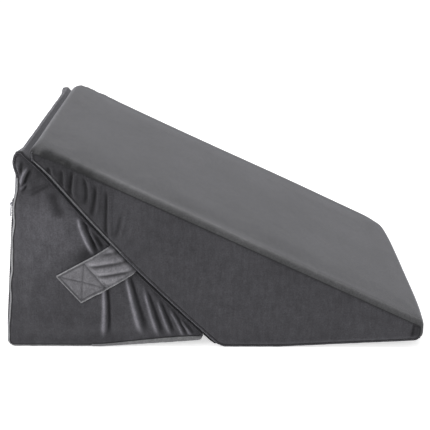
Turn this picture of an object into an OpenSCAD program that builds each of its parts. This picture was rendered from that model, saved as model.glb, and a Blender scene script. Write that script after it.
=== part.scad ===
// Folding two-wedge dog ramp. A base wedge and a ramp wedge, each a foam core in a lining and a
// zipped cloth cover, are joined by a cloth hinge along the floor. All sizes are millimetres.
// X runs from the high back of the ramp to its toe, Y runs across it and Z is up.
// The origin is on the floor under the middle of the ramp.

/* [Ramp] */
// Length on the floor, from the back to the toe
ramp_length = 700; // [620:10:820]
// Width across the cushions
ramp_width = 500; // [400:10:620]
// Height of the ramp wedge's top edge, before the edge is rounded
ramp_height = 356; // [300:4:430]
// Height of the ramp's surface at the toe
toe_height = 49; // [44:1:60]

/* [Wedges] */
// How far the top of the back sits in from its foot
back_setback = 36; // [20:1:50]
// Width of the base wedge's flat top
base_top = 12; // [10:1:20]
// How far the base wedge's top sits below the ramp wedge's top edge
top_step = 15; // [10:1:20]
// How far the slanted joint meets the floor past the middle
joint_foot = 8; // [0:1:16]
// Width of the slot between the two wedges
wedge_gap = 2; // [1.5:0.5:4]
// Thickness of the ramp wedge's blunt top end, measured along the floor from the base's top
apex_blunt = 13; // [10:1:18]
// How far the base wedge's thin tip is drawn up off the floor
tip_lift = 13.5; // [10:0.5:18]
// How far the ramp wedge's thin toe is drawn up off the floor
toe_lift = 13; // [12:0.5:16]

/* [Covers] */
// Thickness of the outer cover cloth
cover_t = 2; // [1.5:0.25:3]
// Thickness of the inner lining
liner_t = 1; // [0.8:0.1:1.5]
// Width of the side straps
strap_w = 60; // [40:2:70]
// Thickness of the side straps
strap_t = 3; // [2:0.5:4]
// Distance from the stitched end of a strap to the joint, along the strap
strap_reach = 105; // [90:1:120]
// Height at which a strap's middle meets the joint
strap_height = 160; // [130:2:190]
// Rise of a strap towards the joint, in degrees
strap_rise = 29; // [20:1:35]

/* [Zippers] */
// Visible width of a zipper's tape
tape_w = 10; // [8:0.5:12]
// Width of a zipper's closed coil
coil_w = 4; // [3:0.25:5]
// Inset of the back zipper from the sides of the back
zip_side_inset = 14; // [12:1:20]
// Height of the back zipper's lower run above the floor edge
zip_foot_inset = 26; // [24:1:36]
// Distance of the back zipper's ends from the top of the back
zip_top_inset = 81; // [60:1:140]
// Distance of the under-toe zipper's line from the toe
toe_zip_inset = 56; // [50:1:70]
// Length of the back zipper's pull tab
pull_length = 22; // [16:1:24]

/* [Hidden] */

ARC_STEPS = 6;          // straight facets in each rounded profile corner
BIG = 2;                // how far a panel's cutting sector reaches, in times the wedge's size
ROUND_FN = 48;

half_length = ramp_length / 2;
near = -1;
far = 1;

// Joint plane between the wedges, seen from the near side
base_height = ramp_height - top_step;
back_lean = atan(back_setback / base_height);
foot_r = 12;
foot_x = -half_length + foot_r * (1 - tan(back_lean) - 1 / cos(back_lean));
base_top_x = -half_length + back_setback + base_top;
joint_angle = atan2(base_height, joint_foot - base_top_x);
apex_x = base_top_x + apex_blunt;

// x of the joint plane's face at a height: side is -1 on the base wedge and 1 on the ramp wedge
function joint_x(z, side) =
    joint_foot - z / tan(joint_angle) + side * wedge_gap / 2 / sin(joint_angle);
// Height of the ramp wedge's slanted face at an x
function joint_z(x) =
    (joint_foot - x) * tan(joint_angle) + wedge_gap / 2 / cos(joint_angle);

// Profile corners, clockwise from the near side: [x, z, rounding radius]
base_flat = 160;        // length of the base wedge's bottom that lies on the floor
ramp_flat = 100;        // the same for the ramp wedge
lift_radius = 200;      // rounding where a bottom starts to rise
base_lift_x = -half_length + base_flat;
ramp_lift_x = joint_foot + ramp_flat;
apex_round = 0.45;      // radius of the ramp's top edge, as a share of its blunt end's height
base_corners = [
    [foot_x, 0, foot_r],
    [foot_x + back_setback, base_height, 7],
    [joint_x(base_height, -1), base_height, 4],
    [joint_x(tip_lift, -1), tip_lift, 10],
    [base_lift_x, 0, lift_radius]
];
ramp_corners = [
    [joint_x(0, 1), 0, 24],
    [apex_x, joint_z(apex_x), 8],
    [apex_x, ramp_height, apex_round * (ramp_height - joint_z(apex_x))],
    [half_length, toe_height, 12],
    [half_length, toe_lift, 16],
    [ramp_lift_x, 0, lift_radius]
];

// Cloth hinge: the axis runs across the ramp, just off the floor
hinge_x = joint_foot - 8;
hinge_z = 1.6;
leaf_t = 1.2;
leaf_end_gap = 0.9;     // each leaf stops this far from the axis
leaf_inset = 12;        // the leaves stop this far short of the covers' sides
leaf_root = 3;          // how far a leaf is drawn into its wedge's rounded edge before it is cut
base_tip = 3;           // the corner of the base wedge that its leaf is sewn to
ramp_foot = 0;          // the same for the ramp wedge

// Zipper parts, measured out from the cover's face
tape_sink = 0.6;        // the tape's face lies this far below the cover's face
coil_t = 1.6;
zip_corner = 20;        // radius of the back zipper's centre line at its lower corners
toe_zip_end = 40;       // the under-toe zipper stops this far from each side
slider_l = 13;
slider_w = 9;
slider_plate = 1.2;
slider_play = 0.3;      // clearance between the slider and the coil
flange_gap = 0.1;       // clearance between the slider's flanges and the tape
bar_r = 0.8;
bar_play = 0.05;        // radial clearance of the pull on the slider's bar
eye_r = 2;
eye_w = 2.6;
post_w = 1;
post_play = 0.2;        // clearance between the pull's eye and each post
pull_w = 5.5;
pull_t = 1.2;
stop_l = 3;
stop_w = 6;
stop_h = 2.4;
stop_play = 0.2;        // gap between a slider and the stop that it rests beside
post_rim = 0.4;         // how far each post stands above the bar
pull_neck = 3;          // length of the narrow neck between the pull's eye and its tab

coil_top = coil_t - tape_sink;
plate_z = coil_top + slider_play;
bar_z = plate_z + slider_plate + eye_r + post_play;

zip_x = ramp_width / 2 - zip_side_inset;
zip_top = norm([back_setback, base_height]) - zip_top_inset;
back_slider_y = zip_top - stop_l - stop_play - slider_l / 2;

toe_tilt = atan(toe_lift / (half_length - ramp_lift_x));
toe_zip_y = half_length - toe_zip_inset - ramp_lift_x;
toe_zip_half = ramp_width / 2 - toe_zip_end;
toe_slider_x = -(toe_zip_half - stop_l - stop_play - slider_l / 2);

// --- Profiles -------------------------------------------------------------------------------

function unit(v) = v / norm(v);
function xz(corner) = [corner.x, corner.y];
function wrap(list, i) = list[(i + len(list)) % len(list)];

// Centre of the arc of radius r that rounds corner b, between its neighbours a and c
function arc_centre(a, b, c, r) =
    let (u = unit(a - b), v = unit(c - b))
    b + unit(u + v) * r / sin(acos(u * v) / 2);

// Points along that arc
function corner_arc(a, b, c, r) =
    let (
        u = unit(a - b),
        v = unit(c - b),
        half_angle = acos(u * v) / 2,
        centre = arc_centre(a, b, c, r),
        start = b + u * r / tan(half_angle) - centre,
        turn = -sign(cross(u, v)) * (180 - 2 * half_angle)
    )
    [for (i = [0:ARC_STEPS])
        let (t = turn * i / ARC_STEPS)
        centre + [start.x * cos(t) - start.y * sin(t), start.x * sin(t) + start.y * cos(t)]];

// The closed outline of a list of corners, each [x, z, radius]
function outline(corners) =
    [for (i = [0:len(corners) - 1])
        each corner_arc(xz(wrap(corners, i - 1)), xz(corners[i]), xz(wrap(corners, i + 1)),
                        corners[i].z)];

// The same corners, moved in by a wall's thickness
function inset(corners, t) =
    [for (i = [0:len(corners) - 1])
        let (
            b = xz(corners[i]),
            u = unit(xz(wrap(corners, i - 1)) - b),
            v = unit(xz(wrap(corners, i + 1)) - b),
            moved = b + unit(u + v) * t / sin(acos(u * v) / 2)
        )
        [moved.x, moved.y, max(corners[i].z - t, 1)]];

function middle(corners) =
    let (n = len(corners)) [for (k = [0:1]) [for (c = corners) c[k]] * [for (c = corners) 1] / n];

// Stands a profile up and draws it out across the ramp, between two places in Y
module across(y_from, y_to) {
    translate([0, y_to, 0]) rotate([90, 0, 0]) linear_extrude(y_to - y_from) children();
}

// --- Foam, lining and cover of one wedge ------------------------------------------------------

module foam(corners) {
    wall = cover_t + liner_t;
    across(-ramp_width / 2 + wall, ramp_width / 2 - wall) polygon(outline(inset(corners, wall)));
}

module liner(corners) {
    wall = cover_t + liner_t;
    difference() {
        across(-ramp_width / 2 + cover_t, ramp_width / 2 - cover_t)
            polygon(outline(inset(corners, cover_t)));
        across(-ramp_width / 2 + wall, ramp_width / 2 - wall)
            polygon(outline(inset(corners, wall)));
    }
}

// The stretch of cover from corner number first to corner number last
module band_panel(corners, first, last) {
    hub = middle(corners);
    reach = [for (i = [first:last]) hub + BIG * (xz(wrap(corners, i)) - hub)];
    across(-ramp_width / 2 + cover_t, ramp_width / 2 - cover_t) intersection() {
        difference() {
            polygon(outline(corners));
            polygon(outline(inset(corners, cover_t)));
        }
        polygon(concat([hub], reach));
    }
}

module side_panel(corners, side) {
    inner = side * (ramp_width / 2 - cover_t);
    outer = side * ramp_width / 2;
    across(min(inner, outer), max(inner, outer)) polygon(outline(corners));
}

// --- Straps and cloth hinge -------------------------------------------------------------------

// A flat strap: its far end is caught in the seam along the joint
module strap(side) {
    root = [joint_x(strap_height, -1), strap_height];
    inner = side * ramp_width / 2;
    outer = side * (ramp_width / 2 + strap_t);
    color("dimgray") across(min(inner, outer), max(inner, outer)) intersection() {
        translate(root) rotate(strap_rise) translate([-strap_reach, -strap_w / 2])
            square([2 * strap_reach, strap_w]);
        polygon(outline(inset(base_corners, cover_t / 2)));
    }
}

// One leaf of the cloth hinge, from the axis to the rounded seam of the wedge beside it
module hinge_leaf(corners, i) {
    edge = ramp_width / 2 - leaf_inset;
    r = corners[i].z;
    aim = arc_centre(xz(wrap(corners, i - 1)), xz(corners[i]), xz(wrap(corners, i + 1)), r)
        - [hinge_x, hinge_z];
    length = norm(aim) - r + leaf_root;
    color("black") across(-edge, edge) difference() {
        translate([hinge_x, hinge_z]) rotate(atan2(aim.y, aim.x))
            translate([leaf_end_gap, -leaf_t / 2]) square([length - leaf_end_gap, leaf_t]);
        polygon(outline(corners));
    }
}

// --- Zippers ----------------------------------------------------------------------------------

// Frame of the back: x towards the near side, y up the back and z out of it
module on_back() {
    translate([foot_x, 0, 0]) rotate([0, back_lean, 0]) rotate([90, 0, -90]) children();
}

// Frame of the lifted underside of the toe: x to the far side, y to the toe and z out of it
module on_toe() {
    translate([ramp_lift_x, 0, 0]) rotate([0, -toe_tilt, 0]) rotate([180, 0, 90]) children();
}

// U-shaped strip of a given width along the back zipper's line
module back_zip_strip(width, top) {
    outer_x = zip_x + width / 2;
    inner_x = zip_x - width / 2;
    low = zip_foot_inset - width / 2;
    outer_r = zip_corner + width / 2;
    inner_r = zip_corner - width / 2;
    corner_r = 0.2;
    difference() {
        polygon(outline([[-outer_x, low, outer_r], [-outer_x, top, corner_r],
                         [outer_x, top, corner_r], [outer_x, low, outer_r]]));
        polygon(outline([[-inner_x, low + width, inner_r], [-inner_x, top + width, corner_r],
                         [inner_x, top + width, corner_r], [inner_x, low + width, inner_r]]));
    }
}

// Straight strip of a given width along the under-toe zipper's line
module toe_zip_strip(width) {
    translate([-toe_zip_half, toe_zip_y - width / 2]) square([2 * toe_zip_half, width]);
}

module zip_tape() {
    color("black") translate([0, 0, -cover_t]) linear_extrude(cover_t - tape_sink) children();
}

module zip_coil() {
    color("dimgray") translate([0, 0, -tape_sink]) linear_extrude(coil_t) children();
}

// Metal stop clamped over the end of a coil
module zip_stop() {
    color("silver") translate([-stop_w / 2, -stop_l / 2, -tape_sink])
        cube([stop_w, stop_l, stop_h]);
}

// Slider: a plate with two flanges that run along the coil, and a bar for the pull. Its
// length lies along y
module zip_slider() {
    channel = coil_w + 2 * slider_play;
    flange_z = -tape_sink + flange_gap;
    plate_top = plate_z + slider_plate;
    post_x = eye_w / 2 + post_play + post_w / 2;
    color("silver") {
        difference() {
            translate([-slider_w / 2, -slider_l / 2, flange_z])
                cube([slider_w, slider_l, plate_top - flange_z]);
            translate([-channel / 2, -slider_l, -plate_z])
                cube([channel, 2 * slider_l, 2 * plate_z]);
        }
        for (side = [-1, 1])
            translate([side * post_x - post_w / 2, -eye_r, plate_top])
                cube([post_w, 2 * eye_r, bar_z + bar_r + post_rim - plate_top]);
        translate([-post_x, 0, bar_z]) rotate([0, 90, 0])
            cylinder(h = 2 * post_x, r = bar_r, $fn = ROUND_FN);
    }
}

// Pull tab, which hangs along -y from the slider's bar
module zip_pull() {
    tab_l = pull_length - pull_w / 2 - eye_r - pull_neck / 2;
    color("silver") difference() {
        union() {
            translate([-eye_w / 2, 0, 0]) rotate([0, 90, 0])
                cylinder(h = eye_w, r = eye_r, $fn = ROUND_FN);
            translate([-eye_w / 2, -eye_r - pull_neck, -pull_t / 2])
                cube([eye_w, eye_r + pull_neck, pull_t]);
            translate([-pull_w / 2, -pull_length + pull_w / 2, -pull_t / 2])
                cube([pull_w, tab_l, pull_t]);
            translate([0, -pull_length + pull_w / 2, -pull_t / 2])
                cylinder(h = pull_t, r = pull_w / 2, $fn = ROUND_FN);
        }
        translate([-eye_w, 0, 0]) rotate([0, 90, 0])
            cylinder(h = 2 * eye_w, r = bar_r + bar_play, $fn = ROUND_FN);
    }
}

// --- Base wedge -------------------------------------------------------------------------------

module base_foam() { color("khaki") foam(base_corners); }
module base_liner() { color("white") liner(base_corners); }

module base_back_panel() {
    color("dimgray") difference() {
        band_panel(base_corners, 0, 1);
        on_back() translate([0, 0, -2 * cover_t]) linear_extrude(4 * cover_t)
            back_zip_strip(tape_w, zip_top);
    }
}

module base_slope_panel() { color("dimgray") band_panel(base_corners, 1, 3); }
module base_bottom_panel() { color("black") band_panel(base_corners, 3, 5); }
module base_near_side() { color("dimgray") side_panel(base_corners, near); }
module base_far_side() { color("dimgray") side_panel(base_corners, far); }
module base_zipper_tape() { on_back() zip_tape() back_zip_strip(tape_w, zip_top); }
module base_zipper_coil() { on_back() zip_coil() back_zip_strip(coil_w, zip_top - stop_l); }

module base_zipper_stops() {
    for (side = [-1, 1])
        on_back() translate([side * zip_x, zip_top - stop_l / 2, 0]) zip_stop();
}

module base_zipper_slider() { on_back() translate([zip_x, back_slider_y, 0]) zip_slider(); }
module base_zipper_pull() { on_back() translate([zip_x, back_slider_y, bar_z]) zip_pull(); }
module near_strap() { strap(near); }
module far_strap() { strap(far); }

// --- Ramp wedge -------------------------------------------------------------------------------

module ramp_foam() { color("khaki") foam(ramp_corners); }
module ramp_liner() { color("white") liner(ramp_corners); }
module ramp_top_panel() { color("gray") band_panel(ramp_corners, 1, 4); }
module ramp_under_panel() { color("dimgray") band_panel(ramp_corners, 0, 1); }

module ramp_bottom_panel() {
    color("black") difference() {
        band_panel(ramp_corners, 4, 6);
        on_toe() translate([0, 0, -2 * cover_t]) linear_extrude(4 * cover_t)
            toe_zip_strip(tape_w);
    }
}

module ramp_near_side() { color("dimgray") side_panel(ramp_corners, near); }
module ramp_far_side() { color("dimgray") side_panel(ramp_corners, far); }
module ramp_zipper_tape() { on_toe() zip_tape() toe_zip_strip(tape_w); }

module ramp_zipper_coil() {
    on_toe() zip_coil() difference() {
        toe_zip_strip(coil_w);
        for (side = [-1, 1])
            translate([side * (toe_zip_half - stop_l / 2), toe_zip_y])
                square([stop_l, 2 * coil_w], center = true);
    }
}

module ramp_zipper_stops() {
    for (side = [-1, 1])
        on_toe() translate([side * (toe_zip_half - stop_l / 2), toe_zip_y, 0]) rotate(90)
            zip_stop();
}

module ramp_zipper_slider() {
    on_toe() translate([toe_slider_x, toe_zip_y, 0]) rotate(90) zip_slider();
}

// --- Cloth hinge ------------------------------------------------------------------------------

module hinge_leaf_base() { hinge_leaf(base_corners, base_tip); }
module hinge_leaf_ramp() { hinge_leaf(ramp_corners, ramp_foot); }

base_foam();
base_liner();
base_back_panel();
base_slope_panel();
base_bottom_panel();
base_near_side();
base_far_side();
base_zipper_tape();
base_zipper_coil();
base_zipper_stops();
base_zipper_slider();
base_zipper_pull();
near_strap();
far_strap();
ramp_foam();
ramp_liner();
ramp_top_panel();
ramp_under_panel();
ramp_bottom_panel();
ramp_near_side();
ramp_far_side();
ramp_zipper_tape();
ramp_zipper_coil();
ramp_zipper_stops();
ramp_zipper_slider();
hinge_leaf_base();
hinge_leaf_ramp();
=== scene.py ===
"""Looks of the folding dog ramp: two foam wedges in velvet covers, straps, zippers and a cloth hinge.

All sizes are metres, in the CAD's frame: +X from the high back to the toe, +Y to the far side, +Z up.
"""
import math

import bpy
import numpy as np
from mathutils import Matrix, Vector, geometry, kdtree, noise
from mathutils.bvhtree import BVHTree


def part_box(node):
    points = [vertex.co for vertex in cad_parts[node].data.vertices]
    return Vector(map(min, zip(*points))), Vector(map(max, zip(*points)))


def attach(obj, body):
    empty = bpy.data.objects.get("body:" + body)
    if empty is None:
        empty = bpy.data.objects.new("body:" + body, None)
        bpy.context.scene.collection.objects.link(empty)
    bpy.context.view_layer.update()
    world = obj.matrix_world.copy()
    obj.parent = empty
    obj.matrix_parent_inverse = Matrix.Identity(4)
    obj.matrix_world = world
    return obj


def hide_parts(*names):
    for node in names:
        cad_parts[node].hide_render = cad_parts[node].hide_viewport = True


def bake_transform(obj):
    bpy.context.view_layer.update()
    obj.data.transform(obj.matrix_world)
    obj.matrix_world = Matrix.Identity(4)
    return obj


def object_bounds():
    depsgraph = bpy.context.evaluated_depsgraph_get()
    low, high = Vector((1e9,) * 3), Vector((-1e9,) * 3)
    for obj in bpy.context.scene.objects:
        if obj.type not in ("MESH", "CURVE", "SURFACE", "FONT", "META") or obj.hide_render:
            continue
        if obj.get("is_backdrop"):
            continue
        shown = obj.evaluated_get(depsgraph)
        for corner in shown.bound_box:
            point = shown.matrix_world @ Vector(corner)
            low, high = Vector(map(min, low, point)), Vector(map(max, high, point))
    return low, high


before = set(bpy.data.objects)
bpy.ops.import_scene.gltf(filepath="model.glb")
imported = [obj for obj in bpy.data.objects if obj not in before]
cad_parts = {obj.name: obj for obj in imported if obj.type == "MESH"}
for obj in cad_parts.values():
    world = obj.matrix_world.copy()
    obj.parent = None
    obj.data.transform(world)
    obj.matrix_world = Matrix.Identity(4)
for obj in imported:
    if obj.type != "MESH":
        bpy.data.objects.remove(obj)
cad_low, cad_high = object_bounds()

# --- Sizes that the CAD sets ---------------------------------------------------------------------

HALF_LENGTH = round(cad_high.x, 3)
HALF_WIDTH = round(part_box("base_far_side")[1].y, 3)
BASE_HEIGHT = round(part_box("base_near_side")[1].z, 3)
RAMP_HEIGHT = BASE_HEIGHT + 0.015
TOE_HEIGHT = 0.049
TOE_LIFT = 0.013
TIP_LIFT = 0.0135
BACK_SETBACK = 0.036
BASE_TOP = 0.012
APEX_BLUNT = 0.013
JOINT_FOOT = 0.008
WEDGE_GAP = 0.002
FOOT_RADIUS = 0.012
BASE_LIFT_X = -HALF_LENGTH + 0.16
RAMP_LIFT_X = JOINT_FOOT + 0.1
HINGE = Vector((0, 0, 0.0016))
ZIP_SIDE_X = HALF_WIDTH - 0.014
ZIP_FOOT = 0.026
ZIP_CORNER = 0.02
TOE_ZIP_X = HALF_LENGTH - 0.056
TOE_ZIP_HALF = HALF_WIDTH - 0.04
STRAP_HEIGHT = 0.16
STRAP_RISE = math.radians(29)
STRAP_REACH = 0.105
STRAP_WIDTH = 0.06
SIGN = {"near": -1, "far": 1}   # which way along Y each side faces

BACK_LEAN = math.atan(BACK_SETBACK / BASE_HEIGHT)
FOOT_X = -HALF_LENGTH + FOOT_RADIUS * (1 - math.tan(BACK_LEAN) - 1 / math.cos(BACK_LEAN))
TOP_X = -HALF_LENGTH + BACK_SETBACK + BASE_TOP
JOINT_ANGLE = math.atan2(BASE_HEIGHT, JOINT_FOOT - TOP_X)
APEX_X = TOP_X + APEX_BLUNT
ZIP_TOP = math.hypot(BACK_SETBACK, BASE_HEIGHT) - 0.081
TOE_TILT = math.atan(TOE_LIFT / (HALF_LENGTH - RAMP_LIFT_X))


def joint_x(z, side):
    """x of the joint's face at a height: side is -1 on the base wedge and 1 on the ramp wedge."""
    return JOINT_FOOT - z / math.tan(JOINT_ANGLE) + side * WEDGE_GAP / 2 / math.sin(JOINT_ANGLE)


def joint_z(x):
    return (JOINT_FOOT - x) * math.tan(JOINT_ANGLE) + WEDGE_GAP / 2 / math.cos(JOINT_ANGLE)


# --- Sizes of the cloth's look -------------------------------------------------------------------

ARC_STEPS = 8             # steps round each profile corner, an even number
GRID = 0.005              # spacing of the covers' points along a profile
NEAR_GRID = 0.0027        # spacing inside the near side panels, which hold the most folds
FAR_GRID = 0.0045         # and inside the far ones
ROW = 0.009               # spacing of the covers' points across the ramp
ROLL_STEPS = 6            # rows of points round a side edge
TOP_ROLL = 0.011          # how far the ramp's top panel wraps down over its sides
TOP_ROLL_WIDE = 0.023     # and how far in from the side it starts
EDGE_ROLL = 0.005         # rounding of the other side edges
TOE_BULGE = 0.007         # how far the toe's front edge bulges
GROOVE = 0.0016           # depth of a seam
GROOVE_WIDTH = 0.0035
INNER_RADIUS = 0.0025     # least rounding of a side seam's corner

# A corner of a profile: x, z, rounding radius. The number after each is the side inset of the
# edge that leaves the corner.
BASE_CORNERS = [
    ((FOOT_X, 0, FOOT_RADIUS), EDGE_ROLL),
    ((FOOT_X + BACK_SETBACK, BASE_HEIGHT, 0.007), EDGE_ROLL),
    ((joint_x(BASE_HEIGHT, -1), BASE_HEIGHT, 0.004), EDGE_ROLL),
    ((joint_x(TIP_LIFT, -1), TIP_LIFT, 0.01), EDGE_ROLL),
    ((BASE_LIFT_X, 0, 0.2), EDGE_ROLL),
]
RAMP_CORNERS = [
    ((joint_x(0, 1), 0, 0.024), EDGE_ROLL),
    ((APEX_X, joint_z(APEX_X), 0.008), EDGE_ROLL),
    ((APEX_X, RAMP_HEIGHT, 0.45 * (RAMP_HEIGHT - joint_z(APEX_X))), TOP_ROLL),
    ((HALF_LENGTH, TOE_HEIGHT, 0.012), EDGE_ROLL),
    ((HALF_LENGTH, TOE_LIFT, 0.016), EDGE_ROLL),
    ((RAMP_LIFT_X, 0, 0.2), EDGE_ROLL),
]


# --- Profiles ------------------------------------------------------------------------------------

def unit(v):
    return v / np.linalg.norm(v)


def arc(a, b, c, radius):
    """Points that round corner b, between its neighbours a and c."""
    u, v = unit(a - b), unit(c - b)
    half = math.acos(np.clip(u @ v, -1, 1)) / 2
    reach = min(radius / math.tan(half), 0.47 * min(np.linalg.norm(a - b), np.linalg.norm(c - b)))
    radius = reach * math.tan(half)
    centre = b + unit(u + v) * radius / math.sin(half)
    start = b + u * reach - centre
    turn = -math.copysign(math.pi - 2 * half, u[0] * v[1] - u[1] * v[0])
    angles = np.linspace(0, turn, ARC_STEPS + 1)
    return np.array([centre + (start[0] * math.cos(t) - start[1] * math.sin(t),
                               start[0] * math.sin(t) + start[1] * math.cos(t)) for t in angles])


class Profile:
    """A wedge's outline, and the line of its side seam inside it, sampled point for point."""

    def __init__(self, corners):
        n = len(corners)
        outer = [np.array(c[:2], float) for c, _ in corners]
        radii = [c[2] for c, _ in corners]
        insets = [t for _, t in corners]
        inner = self.moved(outer, insets)
        inner_radii = [max(radii[i] - max(insets[i - 1], insets[i]), INNER_RADIUS) for i in range(n)]
        out_arcs = [arc(outer[i - 1], outer[i], outer[(i + 1) % n], radii[i]) for i in range(n)]
        in_arcs = [arc(inner[i - 1], inner[i], inner[(i + 1) % n], inner_radii[i]) for i in range(n)]
        self.outer, self.inner, self.roll, self.corner_at = [], [], [], []
        for i in range(n):
            self.corner_at.append(len(self.outer) + ARC_STEPS // 2)
            self.outer += list(out_arcs[i])
            self.inner += list(in_arcs[i])
            self.roll += list(np.linspace(insets[i - 1], insets[i], ARC_STEPS + 1))
            out_from, out_to = out_arcs[i][-1], out_arcs[(i + 1) % n][0]
            in_from, in_to = in_arcs[i][-1], in_arcs[(i + 1) % n][0]
            count = max(int(np.linalg.norm(out_to - out_from) / GRID), 2)
            for f in (k / count for k in range(1, count)):
                self.outer.append(out_from * (1 - f) + out_to * f)
                self.inner.append(in_from * (1 - f) + in_to * f)
                self.roll.append(insets[i])
        self.outer, self.inner = np.array(self.outer), np.array(self.inner)
        self.roll = np.array(self.roll)

    @staticmethod
    def moved(sharp, insets):
        """The corners of the outline whose every edge is moved in by its own inset."""
        n, found = len(sharp), []
        for i in range(n):
            before, here, after = sharp[i - 1], sharp[i], sharp[(i + 1) % n]
            d1, d2 = unit(here - before), unit(after - here)
            p1 = here + insets[i - 1] * np.array([d1[1], -d1[0]])
            p2 = here + insets[i] * np.array([d2[1], -d2[0]])
            t = np.linalg.solve(np.array([d1, -d2]).T, p2 - p1)[0]
            found.append(p1 + d1 * t)
        return found


def fill(border, spacing):
    """Triangles that fill a convex border: (all points, triangles). The border's points come first."""
    low, high = border.min(0), border.max(0)
    after = np.roll(border, -1, 0)
    along = after - border
    along /= np.maximum(np.linalg.norm(along, axis=1), 1e-9)[:, None]
    inside, row, z = [], 0, low[1] + spacing / 2
    while z < high[1]:
        x = low[0] + (spacing / 2 if row % 2 else 0)
        while x < high[0]:
            off = (x - border[:, 0]) * along[:, 1] - (z - border[:, 1]) * along[:, 0]
            if off.min() > 0.6 * spacing:
                inside.append((x, z))
            x += spacing
        z += spacing * math.sqrt(3) / 2
        row += 1
    points = [Vector(p) for p in border] + [Vector(p) for p in inside]
    edges = [(i, (i + 1) % len(border)) for i in range(len(border))]
    out = geometry.delaunay_2d_cdt(points, edges, [], 1, 1e-7)
    source = [o[0] for o in out[3]]
    return np.array([p[:] for p in points]), [tuple(source[v] for v in f) for f in out[2]]


# --- A wedge's cover as one closed skin ----------------------------------------------------------

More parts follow.
